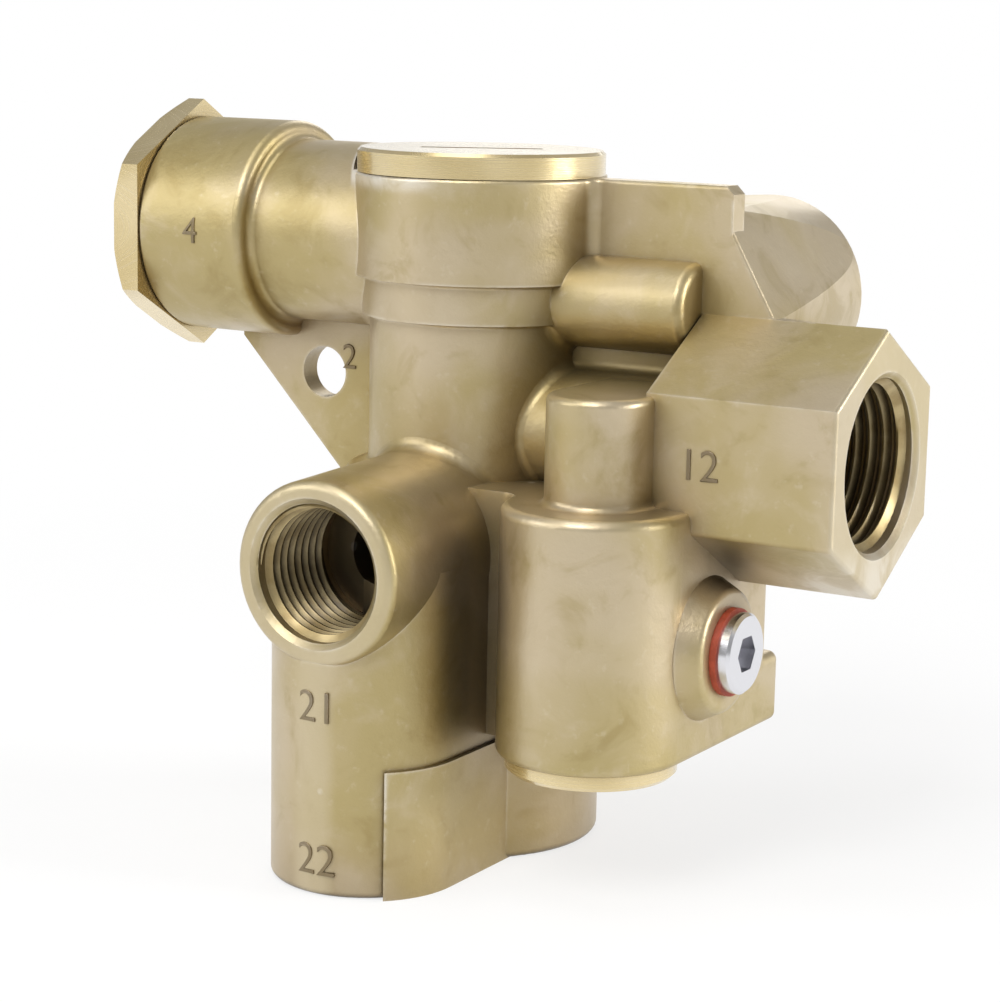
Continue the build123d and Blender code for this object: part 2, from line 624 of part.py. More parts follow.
def exhaust_seat():
    cup = rod_z(SEAT_OUT_R - SEAT_CUP_T, SEAT_FLOOR_Z + SEAT_FLOOR_T, EXHAUST_BORE_H)
    body = rod_z(SEAT_OUT_R, EXHAUST_FOOT, EXHAUST_BORE_H) - cup
    body -= rod_z(SEAT_OUT_R - SEAT_SKIRT_T, EXHAUST_FOOT, SEAT_FLOOR_Z)
    body += rod_z(EXHAUST_LIP_R + EXHAUST_LIP_T, SEAT_FLOOR_Z, EXHAUST_LIP_Z)
    body -= rod_z(EXHAUST_LIP_R, SEAT_FLOOR_Z, EXHAUST_BORE_H)
    return body + spider() - cord_groove(EXHAUST_BORE_R, 0, 0, SEAT_SEAL_Z)


def spider():
    """Arms inside the skirt of the exhaust seat, with the hole that holds the flap."""
    rim = SEAT_OUT_R - SEAT_SKIRT_T / 2
    top = SPIDER_Z + SPIDER_T
    across = SPIDER_ARM_W / 2
    body = rod_z(rim, SPIDER_Z, top) - rod_z(rim - SPIDER_RIM_T, SPIDER_Z, top)
    body += rod_z(SPIDER_HUB_R, SPIDER_Z, top)
    for arm in range(SPIDER_ARMS):
        reach = block(SPIDER_HUB_R / 2, rim - SPIDER_RIM_T / 2, -across, across, SPIDER_Z, top)
        body += Rot(0, 0, 360 * arm / SPIDER_ARMS) * reach
    return body - rod_z(FLAP_STEM_R + FLAP_GAP, SPIDER_Z, top)


def exhaust_flap():
    high = SPIDER_Z - FLAP_GAP
    shoulder = SPIDER_Z + SPIDER_T + FLAP_GAP
    body = rod_z(FLAP_R, high - FLAP_T, high) + rod_z(FLAP_STEM_R, high - FLAP_T, shoulder)
    return body + taper_z(FLAP_KNOB_R, FLAP_KNOB_TIP_R, shoulder, shoulder + FLAP_KNOB_T)


def retaining_ring():
    outer = EXHAUST_BORE_R + CLIP_GROOVE - LIFT / 2
    low = EXHAUST_FOOT - CLIP_T
    ear_y = outer - CLIP_EAR_IN
    body = rod_z(outer, low, EXHAUST_FOOT) - rod_z(outer - CLIP_W, low, EXHAUST_FOOT)
    body -= block(-CLIP_GAP / 2, CLIP_GAP / 2, 0, outer * 2, low, EXHAUST_FOOT)
    for side in (-CLIP_EAR_X, CLIP_EAR_X):
        body += rod_z(CLIP_EAR_R, low, EXHAUST_FOOT, side, ear_y)
        body -= rod_z(CLIP_HOLE_R, low, EXHAUST_FOOT, side, ear_y)
    return body


def control_plug():
    flat = CONTROL_HEX / 2
    wide = CONTROL_BORE_R + COUNTERSINK
    head = hex_x(CONTROL_HEX, -CONTROL_MOUTH, -CONTROL_END, CONTROL_Z)
    head &= taper_x(flat + HEX_CHAMFER_R, flat + HEX_CHAMFER_R + HEX_CHAMFER_RISE,
                    -CONTROL_MOUTH, -CONTROL_END, 0, CONTROL_Z)
    body = head + rod_x(CONTROL_BORE_IN_R - SLIP, -CONTROL_END, -CONTROL_FLOOR - PLUG_SPACE, 0, CONTROL_Z)
    body -= Pos(CONTROL_SEAL_IN - CONTROL_END, 0, CONTROL_Z) * Rot(0, 90, 0) * cord_groove(CONTROL_BORE_IN_R)
    body -= rod_x(CONTROL_BORE_R, -CONTROL_MOUTH, CONTROL_DEPTH - CONTROL_MOUTH, 0, CONTROL_Z)
    body -= taper_x(wide, CONTROL_BORE_R, -CONTROL_MOUTH, COUNTERSINK - CONTROL_MOUTH, 0, CONTROL_Z)
    return body - rod_x(CONTROL_WAY_R, -CONTROL_MOUTH, -CONTROL_FLOOR, 0, CONTROL_Z)


def strainer():
    end = STRAINER_L - STRAINER_MOUTH
    inner = STRAINER_R - STRAINER_WALL
    across = STRAINER_SLOT_W / 2
    first = STRAINER_L / 4 - STRAINER_MOUTH
    body = rod_x(CONTROL_BORE_IN_R - STRAINER_RIM, -STRAINER_MOUTH, STRAINER_T - STRAINER_MOUTH, 0, CONTROL_Z)
    body += rod_x(STRAINER_R, -STRAINER_MOUTH, end, 0, CONTROL_Z)
    body -= rod_x(inner, -STRAINER_MOUTH, end - STRAINER_WALL, 0, CONTROL_Z)
    for slot in range(STRAINER_SLOTS):
        hole = block(first, first + STRAINER_SLOT_L, -across, across, inner - STRAINER_WALL, STRAINER_R * 2)
        body -= Pos(0, 0, CONTROL_Z) * Rot(360 * slot / STRAINER_SLOTS, 0, 0) * hole
    return body - rod_x(STRAINER_HOLE_R, -STRAINER_MOUTH, end, 0, CONTROL_Z)


def strainer_spring():
    length = STRAINER_MOUTH - STRAINER_T - STRAINER_FLOOR
    spring = coil(STRAINER_COIL_R, STRAINER_WIRE, 4, -length, 0)
    return Pos(-STRAINER_FLOOR, 0, CONTROL_Z) * Rot(0, 90, 0) * spring


def chamber_cap():
    low = CHAMBER_Z - CHAMBER_CAP_T
    half, across = CHAMBER_CAP_SLOT / 2, CAP_SLOT_W / 2
    body = rod_z(CHAMBER_CAP_R, low, CHAMBER_Z)
    body = chamfer(body.edges().group_by(Axis.Z)[0], CHAMBER_CAP_EDGE)
    body += rod_z(PRIORITY_BORE_R - SLIP, CHAMBER_Z, CHAMBER_CAP_TOP)
    body -= cord_groove(PRIORITY_BORE_R, 0, 0, (CHAMBER_Z + CHAMBER_CAP_TOP) / 2)
    body -= rod_z(BREATHER_R, low, CHAMBER_CAP_TOP)
    body -= block(-half, half, -across, across, low, low + CAP_SLOT_DEPTH)
    return Pos(CHAMBER_X, CHAMBER_Y, 0) * body


def priority_piston():
    crown_z = PRIORITY_Z + PRIORITY_SKIRT
    body = rod_z(PRIORITY_BORE_R - RUN, PRIORITY_Z, crown_z)
    body -= cord_groove(PRIORITY_BORE_R, 0, 0, PRIORITY_Z + PRIORITY_SKIRT / 2)
    body += rod_z(PRIORITY_CROWN_R, crown_z, PRIORITY_FACE_Z - PRIORITY_CROWN_LIP)
    body -= rod_z(PRIORITY_FACE_R, PRIORITY_FACE_Z - PRIORITY_FACE_T, PRIORITY_FACE_Z)
    body -= rod_z(PRIORITY_WELL_R, PRIORITY_Z, PRIORITY_FACE_Z - PRIORITY_CROWN_T)
    return Pos(CHAMBER_X, CHAMBER_Y, 0) * body


def priority_face():
    return rod_z(PRIORITY_FACE_R, PRIORITY_FACE_Z - PRIORITY_FACE_T, PRIORITY_FACE_Z, CHAMBER_X, CHAMBER_Y)


def priority_spring():
    top = PRIORITY_FACE_Z - PRIORITY_CROWN_T
    return Pos(CHAMBER_X, CHAMBER_Y, 0) * coil(PRIORITY_COIL_R, PRIORITY_WIRE, 8, CHAMBER_CAP_TOP, top)


def valve_seat():
    body = rod_z(SEAT_R, PRIORITY_TOP, SEAT_TOP, CHAMBER_X, CHAMBER_Y)
    return body - rod_z(SEAT_HOLE_R, PRIORITY_TOP, SEAT_TOP, CHAMBER_X, CHAMBER_Y)


def check_poppet():
    body = rod_z(CHECK_R, CHECK_Z + CHECK_FACE_T, CHECK_TOP)
    body += rod_z(CHECK_STEM_R, CHECK_TOP, HUB_BORE_TOP - CHECK_STROKE - LIFT)
    return Pos(CHAMBER_X, CHAMBER_Y, 0) * body


def check_face():
    return rod_z(CHECK_FACE_R, CHECK_Z, CHECK_Z + CHECK_FACE_T, CHAMBER_X, CHAMBER_Y)


def check_spring():
    return Pos(CHAMBER_X, CHAMBER_Y, 0) * coil(CHECK_COIL_R, CHECK_WIRE, 5, CHECK_TOP, HUB_BORE_TOP)


def socket_plug():
    start = PLUG_BOSS_END + PLUG_SEAL_T
    end = start + PLUG_T
    head = rod_x(PLUG_R, start, end, PLUG_Y, PLUG_Z)
    head = chamfer(head.edges().group_by(Axis.X)[-1], PLUG_EDGE)
    body = head + rod_x(PLUG_SHANK_R - SLIP, PLUG_BOSS_END - PLUG_SHANK + SLIP, start, PLUG_Y, PLUG_Z)
    place = Pos(end - PLUG_SOCKET_DEPTH, PLUG_Y, PLUG_Z) * Rot(0, 90, 0)
    return body - place * hex_bar(PLUG_SOCKET, PLUG_SOCKET_DEPTH)


def socket_plug_seal():
    end = PLUG_BOSS_END + PLUG_SEAL_T
    body = rod_x(PLUG_SEAL_R, PLUG_BOSS_END, end, PLUG_Y, PLUG_Z)
    return body - rod_x(PLUG_SHANK_R, PLUG_BOSS_END, end, PLUG_Y, PLUG_Z)


def seals():
    in_chamber = (CHAMBER_X, CHAMBER_Y)
    in_drum = Pos(CONTROL_SEAL_IN - CONTROL_END, 0, CONTROL_Z) * Rot(0, 90, 0)
    return {
        "top_cap_seal": cord_ring(PISTON_BORE_R, 0, 0, COLUMN_H - CAP_SPIGOT / 2),
        "piston_seal": cord_ring(PISTON_BORE_R, 0, 0, PISTON_Z + PISTON_T / 2),
        "stem_seal": inner_cord_ring(STEM_R, STEM_SEAL_Z),
        "guide_inner_seal": inner_cord_ring(STEM_R, GUIDE_Z + GUIDE_T / 2),
        "guide_outer_seal": cord_ring(VALVE_BORE_R, 0, 0, GUIDE_Z + GUIDE_T / 2),
        "exhaust_seat_seal": cord_ring(EXHAUST_BORE_R, 0, 0, SEAT_SEAL_Z),
        "chamber_cap_seal": cord_ring(PRIORITY_BORE_R, *in_chamber, (CHAMBER_Z + CHAMBER_CAP_TOP) / 2),
        "priority_seal": cord_ring(PRIORITY_BORE_R, *in_chamber, PRIORITY_Z + PRIORITY_SKIRT / 2),
        "control_plug_seal": in_drum * cord_ring(CONTROL_BORE_IN_R),
    }


def works():
    return {
        "top_cap": top_cap(),
        "control_piston": control_piston(),
        "return_spring": coil(RETURN_COIL_R, RETURN_WIRE, 3.5, WELL_FLOOR, PISTON_Z + SPRING_POCKET),
        "exhaust_valve": exhaust_valve(),
        "exhaust_face": exhaust_face(),
        "valve_screw": valve_screw(),
        "stem_guide": stem_guide(),
        "exhaust_seat": exhaust_seat(),
        "exhaust_flap": exhaust_flap(),
        "retaining_ring": retaining_ring(),
        "control_plug": control_plug(),
        "strainer": strainer(),
        "strainer_spring": strainer_spring(),
        "chamber_cap": chamber_cap(),
        "priority_piston": priority_piston(),
        "priority_face": priority_face(),
        "priority_spring": priority_spring(),
        "valve_seat": valve_seat(),
        "check_poppet": check_poppet(),
        "check_face": check_face(),
        "check_spring": check_spring(),
        "socket_plug": socket_plug(),
        "socket_plug_seal": socket_plug_seal(),
    }


os.makedirs("parts", exist_ok=True)
for name, shape in {"housing": housing(), **works(), **seals()}.items():
    export_step(shape, f"parts/{name}.step")
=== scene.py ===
import json
import math

import bpy
from mathutils import Matrix, Vector


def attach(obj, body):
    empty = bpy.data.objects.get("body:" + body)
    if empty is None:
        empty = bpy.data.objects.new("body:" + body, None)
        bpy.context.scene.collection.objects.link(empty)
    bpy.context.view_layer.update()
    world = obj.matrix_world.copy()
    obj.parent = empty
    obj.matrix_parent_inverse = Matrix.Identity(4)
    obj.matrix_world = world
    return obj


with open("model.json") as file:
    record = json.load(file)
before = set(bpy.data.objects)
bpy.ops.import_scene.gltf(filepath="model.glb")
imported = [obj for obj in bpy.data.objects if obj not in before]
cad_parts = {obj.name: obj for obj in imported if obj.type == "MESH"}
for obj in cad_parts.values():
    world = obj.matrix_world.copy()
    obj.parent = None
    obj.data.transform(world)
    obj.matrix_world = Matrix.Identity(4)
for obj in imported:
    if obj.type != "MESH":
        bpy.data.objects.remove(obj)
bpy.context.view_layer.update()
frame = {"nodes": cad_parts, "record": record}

MM = 0.001
BODY = "valve_body"

# Axes, ends and radii of the ports, in millimetres, as the solids have them
RES_Z, RES_END, RES_FLAT = 51.95, 54.7, 27.4
DEL_Z, DEL_END = 38.4, 35.6
LOBE_Y, LOBE_R = 24.0, 11.4
REAR_X, REAR_Z, REAR_END = 25.9, 67.7, 30.0
CONTROL_Z, CONTROL_R, CONTROL_PLUG = 74.4, 13.8, 46.5
CHAMBER_X, CHAMBER_Y = 25.9, -15.3

# Taper pipe threads: radius at the root and at the crest, pitch and length, in millimetres
HALF_INCH = (10.2, 9.35, 1.814, 15.5)
THREE_EIGHTHS = (8.2, 7.4, 1.411, 12.5)
QUARTER_INCH = (6.6, 5.8, 1.411, 9.8)
HEXAGON_SUNK, SUNK = 1.3, 1.2


# ---- shader language ----

class Val:
    """A socket that takes part in plain sums."""

    def __init__(self, mat, socket):
        self.mat, self.socket = mat, socket

    def sum(self, kind, *others):
        return self.mat.node("ShaderNodeMath", {"operation": kind}, dict(enumerate((self, *others))))

    def __add__(self, other):
        return self.sum("ADD", other)

    def __sub__(self, other):
        return self.sum("SUBTRACT", other)

    def __rsub__(self, other):
        return self.mat.node("ShaderNodeMath", {"operation": "SUBTRACT"}, {0: other, 1: self})

    def __mul__(self, other):
        return self.sum("MULTIPLY", other)

    __radd__ = __add__
    __rmul__ = __mul__

    def root(self):
        return self.sum("SQRT")

    def high(self, other):
        return self.sum("MAXIMUM", other)

    def ramp(self, start, end, to_low=0.0, to_high=1.0):
        settings = {"interpolation_type": "SMOOTHSTEP"}
        sockets = {0: self, 1: start, 2: end, 3: to_low, 4: to_high}
        return self.mat.node("ShaderNodeMapRange", settings, sockets)


class Nodes:
    """The nodes of one material, or of the world."""

    def __init__(self, tree):
        self.tree = tree

    def node(self, kind, settings=None, sockets=None, out=0):
        made = self.tree.nodes.new(kind)
        for key, value in (settings or {}).items():
            setattr(made, key, value)
        for key, value in (sockets or {}).items():
            if isinstance(value, Val):
                self.tree.links.new(value.socket, made.inputs[key])
            else:
                made.inputs[key].default_value = value
        return Val(self, made.outputs[out])


class Finish(Nodes):
    """One material with its shader and the nodes that vary it."""

    RAY_SAMPLES = 2

    def __init__(self, name, colour, roughness, metallic=0.0, **extra):
        self.mat = bpy.data.materials.new(name)
        self.mat.use_nodes = True
        super().__init__(self.mat.node_tree)
        self.shader = self.tree.nodes["Principled BSDF"]
        self.mat.diffuse_color = (*colour, 1)
        self.give("Base Color", (*colour, 1))
        self.give("Roughness", roughness)
        self.give("Metallic", metallic)
        for socket, value in extra.items():
            self.give(socket.replace("_", " "), value)

    def give(self, name, value):
        if isinstance(value, Val):
            self.tree.links.new(value.socket, self.shader.inputs[name])
        else:
            self.shader.inputs[name].default_value = value

    def place(self):
        return self.node("ShaderNodeTexCoord", out="Object")

    def axes(self, place):
        return (self.node("ShaderNodeSeparateXYZ", None, {0: place}, axis) for axis in range(3))

    def noise(self, place, scale, detail=2.0, rough=0.5, twist=0.0):
        sockets = {"Vector": place, "Scale": scale, "Detail": detail, "Roughness": rough,
                   "Distortion": twist}
        return self.node("ShaderNodeTexNoise", None, sockets)

    def spots(self, place, scale):
        return self.node("ShaderNodeTexVoronoi", None, {"Vector": place, "Scale": scale})

    def mix(self, share, first, second):
        return self.node("ShaderNodeMix", {"data_type": "RGBA"}, {0: share, 6: first, 7: second}, 2)

    def lines(self, along):
        """Fine marks that change along one length only."""
        sockets = {"W": along, "Scale": 1, "Detail": 2}
        return self.node("ShaderNodeTexNoise", {"noise_dimensions": "1D"}, sockets)

    def edge(self, radius):
        """0 on flat ground, more where the surface turns a corner within the radius."""
        bevel = self.node("ShaderNodeBevel", {"samples": self.RAY_SAMPLES}, {"Radius": radius})
        plain = self.node("ShaderNodeNewGeometry", out="Normal")
        return 1 - self.node("ShaderNodeVectorMath", {"operation": "DOT_PRODUCT"}, {0: bevel, 1: plain}, 1)

    def open(self, reach):
        """1 where the surface lies open, less where walls stand close."""
        settings = {"samples": self.RAY_SAMPLES}
        return self.node("ShaderNodeAmbientOcclusion", settings, {"Distance": reach}, 1)

    def bump(self, height, strength, depth):
        sockets = {"Height": height, "Strength": strength, "Distance": depth}
        return self.node("ShaderNodeBump", None, sockets)


def rgb(r, g, b):
    """A colour read as 0 to 255 screen values."""
    return tuple(((c / 255 + 0.055) / 1.055) ** 2.4 for c in (r, g, b))


def col(*values):
    """The same with an alpha of 1, for a colour socket."""
    return (*rgb(*values), 1)


# ---- finishes, with places in metres ----

PAINTED_BORE_SHADE = col(26, 18, 8)
BARE_AND_GLINT = col(238, 232, 220)


def cast_finish(name, painted_shade=0.0):
    """Die cast aluminium under a yellow chromate coat, with painted shade in the hollows, and bare metal with a
    painted highlight at the edges.
    """
    f = Finish(name, rgb(186, 168, 124), 0.4, 0.8, Coat_Weight=0.3, Coat_Roughness=0.3)
    at = f.place()
    x, y, z = f.axes(at)
    cloud = f.noise(at, 42, 3, 0.5, 0.3)
    patch = f.noise(at, 140, 4, 0.6, 0.6)
    fine = f.noise(at, 700, 3, 0.65)
    grain = f.noise(at, 2400, 2, 0.6)
    tone = f.mix(cloud.ramp(0.36, 0.64), col(201, 185, 155), col(184, 167, 117))
    tone = f.mix(patch.ramp(0.5, 0.74) * 0.35, tone, col(212, 198, 170))
    tone = f.mix(patch.ramp(0.48, 0.26) * 0.5, tone, col(158, 138, 82))
    tone = f.mix(fine.ramp(0.58, 0.76) * 0.25, tone, col(218, 207, 182))

    # painted shade: browner in the hollows, nearly black deep in the bores
    room, wide = f.open(0.012), f.open(0.03)
    tone = f.mix(room.ramp(0.75, 0.2) * 0.7, tone, col(132, 102, 48))
    tone = f.mix(wide.ramp(0.5, 0.12) * 0.6, tone, col(108, 78, 32))
    tone = f.mix(wide.ramp(0.3, 0.12) * room.ramp(0.5, 0.25) * 0.92, tone, PAINTED_BORE_SHADE)

    # paler on the turned end faces of the hexagon and of the delivery boss
    hexagon_face = x.ramp(RES_END * MM - 0.0005, RES_END * MM - 0.0001)
    boss_face = y.ramp(0.0007 - DEL_END * MM, 0.0002 - DEL_END * MM)
    tone = f.mix(hexagon_face.high(boss_face) * 0.6, tone, col(206, 192, 160))

    # bare metal and a painted highlight at edges; bare metal under the top cap, at the foot of the hexagon and in
    # small nicks
    rubbed_and_glinting_edge = f.edge(0.0006).ramp(0.03, 0.2) * patch.ramp(0.4, 0.56) * room.ramp(0.55, 0.8)
    reach = x * x + y * y
    crown = reach.ramp(0.0151 ** 2, 0.0153 ** 2) * z.ramp(0.0806, 0.0824)
    crown = crown * reach.ramp(0.0158 ** 2, 0.0162 ** 2, 1, 0) * x.ramp(0.008, -0.004)
    foot = x.ramp(0.040, 0.052) * z.ramp(0.045, 0.039) * patch.ramp(0.42, 0.6)
    nick = f.spots(at, 70).ramp(0.055, 0.03) * patch.ramp(0.45, 0.55)
    worn_and_glint = rubbed_and_glinting_edge.high(crown * patch.ramp(0.35, 0.55)).high(foot * 0.6).high(nick * 0.7)
    # pale colour for worn bare metal, and a painted highlight along the edges
    tone = f.mix(worn_and_glint * 0.85, tone, BARE_AND_GLINT)
    # painted shade on the numerals, standing for the shadow in stamped letters
    tone = f.mix(painted_shade, tone, col(92, 72, 38))

    f.give("Base Color", tone)
    f.give("Roughness", cloud.ramp(0.3, 0.7, 0.35, 0.44) + grain * 0.05)
    f.give("Normal", f.bump(grain * 0.25 + patch * 1.1 + fine * 0.6 - nick * 0.5, 0.25, 0.0003))
    return f.mat


def turned_finish(name, centre, along_x=False):
    """Turned faces under the same coat: paler gold, with fine marks round the axis of the piece."""
    marks_per_metre, slope = 9000, 0.15
    f = Finish(name, rgb(228, 208, 158), 0.2, 0.85, Coat_Weight=0.7, Coat_Roughness=0.12)
    at = f.place()
    x, y, z = f.axes(at)
    across, up = (y, z) if along_x else (x, y)
    across, up = across - centre[0] * MM, up - centre[1] * MM
    reach = (across * across + up * up).root()
    marks = f.lines((reach + (x * slope if along_x else z)) * marks_per_metre)
    cloud = f.noise(at, 90, 2)
    tone = f.mix(cloud.ramp(0.35, 0.7), col(232, 213, 166), col(214, 193, 140))
    tone = f.mix(marks.ramp(0.5, 0.8) * 0.12, tone, col(244, 236, 214))
    # painted shade in the hollows
    tone = f.mix(f.open(0.004).ramp(0.7, 0.2) * 0.8, tone, col(110, 84, 40))
    f.give("Base Color", tone)
    f.give("Roughness", marks.ramp(0.3, 0.7, 0.16, 0.26) + cloud * 0.06)
    f.give("Normal", f.bump(marks, 0.03, 0.0001))
    return f.mat


def thread_finish(name):
    """Cut threads: painted shade darkens them between the crests and deep in the bore."""
    f = Finish(name, rgb(150, 128, 84), 0.35, 0.8, Coat_Weight=0.3, Coat_Roughness=0.2)
    wave = f.noise(f.place(), 300, 3)
    tone = f.mix(wave.ramp(0.35, 0.7), col(196, 176, 128), col(160, 138, 90))
    # painted shade between the crests and deep in the bore
    tone = f.mix(f.open(0.0016).ramp(0.8, 0.35) * 0.85, tone, col(58, 42, 20))
    tone = f.mix(f.open(0.02).ramp(0.7, 0.15) * 0.9, tone, col(30, 21, 9))
    f.give("Base Color", tone)
    f.give("Roughness", wave.ramp(0.3, 0.7, 0.3, 0.42))
    f.give("Normal", f.bump(wave, 0.08, 0.0002))
    return f.mat


def plain_metal(name, colour, roughness):
    f = Finish(name, colour, roughness, 1.0)
    wave = f.noise(f.place(), 400, 3)
    f.give("Roughness", wave.ramp(0.3, 0.7, roughness * 0.8, roughness * 1.25))
    f.give("Normal", f.bump(wave, 0.06, 0.0002))
    return f.mat


def dull(name, colour, roughness):
    """Rubber or plastic, a little darker in patches."""
    f = Finish(name, colour, roughness)
    wave = f.noise(f.place(), 900, 3)
    dark = tuple(c * 0.75 for c in colour)
    f.give("Base Color", f.mix(wave.ramp(0.35, 0.7), (*colour, 1), (*dark, 1)))
    f.give("Roughness", wave.ramp(0.3, 0.7, roughness * 0.85, min(1, roughness * 1.15)))
    f.give("Normal", f.bump(wave, 0.1, 0.0002))
    return f.mat


# Under the name of a node, or else of a material slot
finishes = {
    "cast_aluminium": cast_finish("chromated_casting"),
    # the numerals take a painted shade of 0.7
    "numeral": cast_finish("stamped_numerals", 0.7),
    "thread": thread_finish("cut_thread"),
    "top_cap": turned_finish("turned_top_cap", (0, 0)),
    "chamber_cap": turned_finish("turned_chamber_cap", (CHAMBER_X, CHAMBER_Y)),
    "control_plug": turned_finish("turned_control_plug", (0, CONTROL_Z), True),
    "plug_steel": plain_metal("zinc_plated_plug", rgb(226, 226, 230), 0.22),
    "red_seal": dull("red_seal_rubber", rgb(176, 74, 48), 0.55),
    "black_rubber": dull("black_seal_rubber", rgb(34, 34, 36), 0.6),
    "turned_aluminium": plain_metal("turned_piston_aluminium", rgb(205, 206, 210), 0.32),
    "spring_steel": plain_metal("drawn_spring_wire", rgb(176, 176, 180), 0.3),
    "clip_steel": plain_metal("blued_clip_steel", rgb(88, 88, 96), 0.4),
    "brass": plain_metal("turned_brass", rgb(212, 178, 104), 0.28),
    "black_plastic": dull("moulded_black_plastic", rgb(42, 42, 45), 0.45),
}


# ---- pieces added to the solids ----

def free():
    """Leave nothing selected, in object mode."""
    if bpy.context.object and bpy.context.object.mode != "OBJECT":
        bpy.ops.object.mode_set(mode="OBJECT")
    bpy.ops.object.select_all(action="DESELECT")


def settle(name, finish, matrix):
    """Bake the place of the active piece into its mesh, then let it ride on the casting."""
    piece = bpy.context.object
    piece.name = name
    piece.data.name = name
    bpy.ops.object.transform_apply(location=True, rotation=True, scale=True)
    piece.data.transform(matrix)
    piece.data.materials.clear()
    piece.data.materials.append(finishes[finish])
    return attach(piece, BODY)


def thread(name, size, start, out):
    """Screw thread in a bore: a blunt V wound down from the mouth along the inward axis."""
    root, crest, pitch, length = size
    bite, run_in, steps = 0.1, 0.4, 48
    half_at_root, half_at_crest = 0.46 * pitch, 0.07 * pitch
    wall = root + (root - crest) * bite
    turns = round(length / pitch)

    free()
    bpy.ops.mesh.primitive_plane_add(size=1, location=(0, 0, 0), rotation=(math.pi / 2, 0, 0))
    piece = bpy.context.object
    bpy.ops.object.transform_apply(location=True, rotation=True, scale=True)
    for vertex in piece.data.vertices:
        outer = vertex.co.x > 0
        half = half_at_root if outer else half_at_crest
        vertex.co = (wall if outer else crest, 0, math.copysign(half, vertex.co.z))
    screw = piece.modifiers.new("wind", "SCREW")
    screw.angle, screw.screw_offset, screw.iterations = 2 * math.pi, pitch, turns
    screw.steps = screw.render_steps = steps
    screw.use_smooth_shade = False
    screw.use_merge_vertices = True
    bpy.ops.object.modifier_apply(modifier="wind")

    # the crest grows out of the wall over part of a turn at either end
    for vertex in piece.data.vertices:
        reach = math.hypot(vertex.co.x, vertex.co.y)
        if reach < (crest + wall) / 2:
            turn = min(vertex.co.z, turns * pitch - vertex.co.z) / pitch
            grow = min(1.0, max(0.0, turn / run_in))
            share = (wall + (crest - wall) * grow) / reach
            vertex.co.x, vertex.co.y = vertex.co.x * share, vertex.co.y * share

    # close the two ends
    bpy.ops.object.mode_set(mode="EDIT")
    bpy.ops.mesh.select_all(action="DESELECT")
    bpy.ops.mesh.select_mode(type="EDGE")
    bpy.ops.mesh.select_non_manifold()
    bpy.ops.mesh.edge_face_add()
    bpy.ops.mesh.select_all(action="SELECT")
    bpy.ops.mesh.normals_make_consistent(inside=False)
    bpy.ops.object.mode_set(mode="OBJECT")

    turn = (-Vector(out)).to_track_quat("Z", "Y").to_matrix().to_4x4()
    settle(name, "thread", Matrix.Translation(Vector(start) * MM) @ turn @ Matrix.Scale(MM, 4))
    bpy.ops.object.shade_smooth_by_angle(angle=math.radians(30))


thread("reservoir_thread", HALF_INCH, (RES_END - HEXAGON_SUNK, 0, RES_Z), (1, 0, 0))
thread("front_thread", THREE_EIGHTHS, (0, SUNK - DEL_END, DEL_Z), (0, -1, 0))
thread("bottom_thread", THREE_EIGHTHS, (0, -LOBE_Y, SUNK), (0, 0, -1))
thread("rear_thread", THREE_EIGHTHS, (REAR_X, REAR_END - SUNK, REAR_Z), (0, 1, 0))
thread("control_thread", QUARTER_INCH, (SUNK - CONTROL_PLUG, 0, CONTROL_Z), (-1, 0, 0))


def numeral(name, words, height, point, barrel=0.0, lengthwise=False):
    """Stamped numeral that faces the front: flat text with a thickness, flat or wrapped round a barrel."""
    size_per_height, half_depth, thin, soften = 1.38, 0.12, -0.02, 0.05
    free()
    bpy.ops.object.text_add()
    text = bpy.context.object.data
    text.body = words
    text.align_x, text.align_y = "CENTER", "CENTER"
    text.size = height * size_per_height
    text.extrude, text.offset = half_depth, thin * height
    text.bevel_depth, text.bevel_resolution, text.resolution_u = soften, 1, 6
    bpy.ops.object.convert(target="MESH")
    if barrel:
        for vertex in bpy.context.object.data.vertices:
            x, y, z = vertex.co
            angle = (y if lengthwise else x) / barrel
            out, drop = (barrel + z) * math.sin(angle), (barrel + z) * math.cos(angle) - barrel
            vertex.co = (x, out, drop) if lengthwise else (out, y, drop)
    upright = Matrix.Rotation(math.pi / 2, 4, "X")
    place = Matrix.Translation(Vector(point) * MM) @ upright @ Matrix.Scale(MM, 4)
    settle(name, "numeral", place)


LOBE_FRONT = -LOBE_Y - LOBE_R
numeral("reservoir_numeral", "12", 3.8, (38.0, -RES_FLAT / 2, RES_Z))
numeral("bracket_numeral", "2", 3.3, (-19.3, 0, 58.3))
numeral("front_delivery_numeral", "21", 3.9, (0.6, LOBE_FRONT, 22.6), LOBE_R)
numeral("bottom_delivery_numeral", "22", 3.9, (0.6, LOBE_FRONT, 4.2), LOBE_R)
numeral("control_numeral", "4", 3.4, (-34.4, -CONTROL_R, CONTROL_Z), CONTROL_R, True)


# ---- finishes on the solids ----

for part in frame["record"]["subparts"]:
    node = frame["nodes"][part["node"]]
    node.data.materials.clear()
    node.data.materials.append(finishes.get(part["node"]) or finishes[part["material_slot"]])


# ---- floor, light and camera, in metres and watts ----

WORLD = 0.38
AIM = (0, 0, 0.05)
LAMPS = (
    ("left_softbox", (-0.6, -0.62, 0.42), 0.5, 2.3),
    ("side_softbox", (0.88, 0.34, 0.3), 0.4, 6.2),
    ("top_softbox", (-0.1, -0.15, 0.85), 0.35, 1.1),
    ("front_top_softbox", (0.05, -0.62, 0.7), 0.4, 3.8),
    ("back_softbox", (-0.3, 0.8, 0.5), 0.4, 1.2),
)


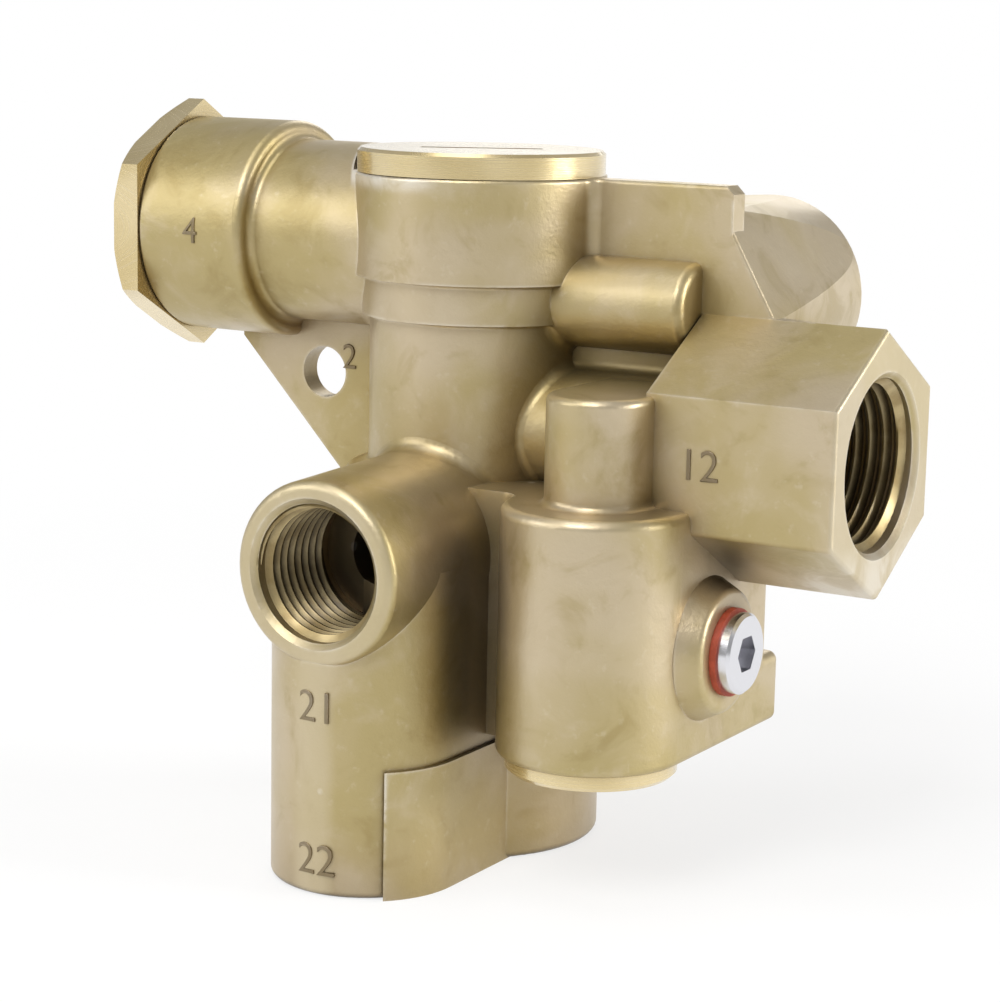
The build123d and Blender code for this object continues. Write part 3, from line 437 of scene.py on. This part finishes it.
def backdrop():
    """White floor and wall: they glow for the camera and for mirrors, and take light and shadow near the part."""
    free()
    bpy.ops.mesh.primitive_plane_add(size=6)
    floor = bpy.context.object
    floor.name = "studio_floor"
    bpy.ops.mesh.primitive_plane_add(size=1, location=(0, 3, 0), rotation=(math.pi / 2, 0, 0))
    wall = bpy.context.object
    wall.name, wall.scale = "studio_wall", (6, 1.2, 1)
    bpy.ops.object.transform_apply(location=True, rotation=True, scale=True)

    f = Finish("pale_floor", (0.92, 0.92, 0.92), 0.9)
    far = f.node("ShaderNodeVectorMath", {"operation": "LENGTH"}, {0: f.place()}, 1).ramp(0.09, 0.26)
    camera_ray, mirror_ray, glass_ray = (
        f.node("ShaderNodeLightPath", out=name)
        for name in ("Is Camera Ray", "Is Glossy Ray", "Is Transmission Ray"))
    seen = camera_ray.high(mirror_ray).high(glass_ray)
    glow = f.node("ShaderNodeEmission", None, {"Color": (1, 1, 1, 1), "Strength": 1})
    both = f.node("ShaderNodeMixShader", None, {0: seen * (far * 0.3 + 0.7), 2: glow})
    f.tree.links.new(f.shader.outputs[0], both.socket.node.inputs[1])
    f.tree.links.new(both.socket, f.tree.nodes["Material Output"].inputs[0])
    for piece in (floor, wall):
        piece.data.materials.append(f.mat)


def sky_light():
    """White for the camera, WORLD for everything that it lights."""
    world = bpy.data.worlds.new("studio_light")
    bpy.context.scene.world = world
    world.use_nodes = True
    sky = Nodes(world.node_tree)
    back = sky.tree.nodes["Background"]
    back.inputs["Color"].default_value = (1, 1, 1, 1)
    level = sky.node("ShaderNodeLightPath", out="Is Camera Ray").ramp(0, 1, WORLD, 1)
    sky.tree.links.new(level.socket, back.inputs["Strength"])


def lamp(name, place, size, power):
    free()
    bpy.ops.object.light_add(type="AREA", location=place)
    light = bpy.context.object
    light.name = name
    light.data.energy, light.data.size = power, size
    light.rotation_euler = (Vector(AIM) - Vector(place)).to_track_quat("-Z", "Y").to_euler()


def camera():
    """Camera at the photograph's angle: turned and tilted about the part, then slid and rolled."""
    turn, tilt, roll = math.radians(30.84), math.radians(10.47), math.radians(1.17)
    away, slide, rise, base = 324.05, 3.1, -41.46, 84.0
    back = Vector((math.sin(turn) * math.cos(tilt), -math.cos(turn) * math.cos(tilt), math.sin(tilt)))
    right = Vector((math.cos(turn), math.sin(turn), 0))
    up = back.cross(right)
    spot = back * away + right * slide + up * rise + Vector((0, 0, base))
    rolled_right = right * math.cos(roll) + up * math.sin(roll)
    rolled_up = up * math.cos(roll) - right * math.sin(roll)
    facing = Matrix((rolled_right, rolled_up, back)).transposed().to_4x4()
    free()
    bpy.ops.object.camera_add()
    cam = bpy.context.object
    cam.data.sensor_width, cam.data.lens = 36, 94.66
    cam.data.clip_start, cam.data.clip_end = 0.01, 20
    cam.matrix_world = Matrix.Translation(spot * MM) @ facing
    bpy.context.scene.camera = cam


backdrop()
sky_light()
for each in LAMPS:
    lamp(*each)
camera()

bpy.context.scene.view_settings.view_transform = "Standard"
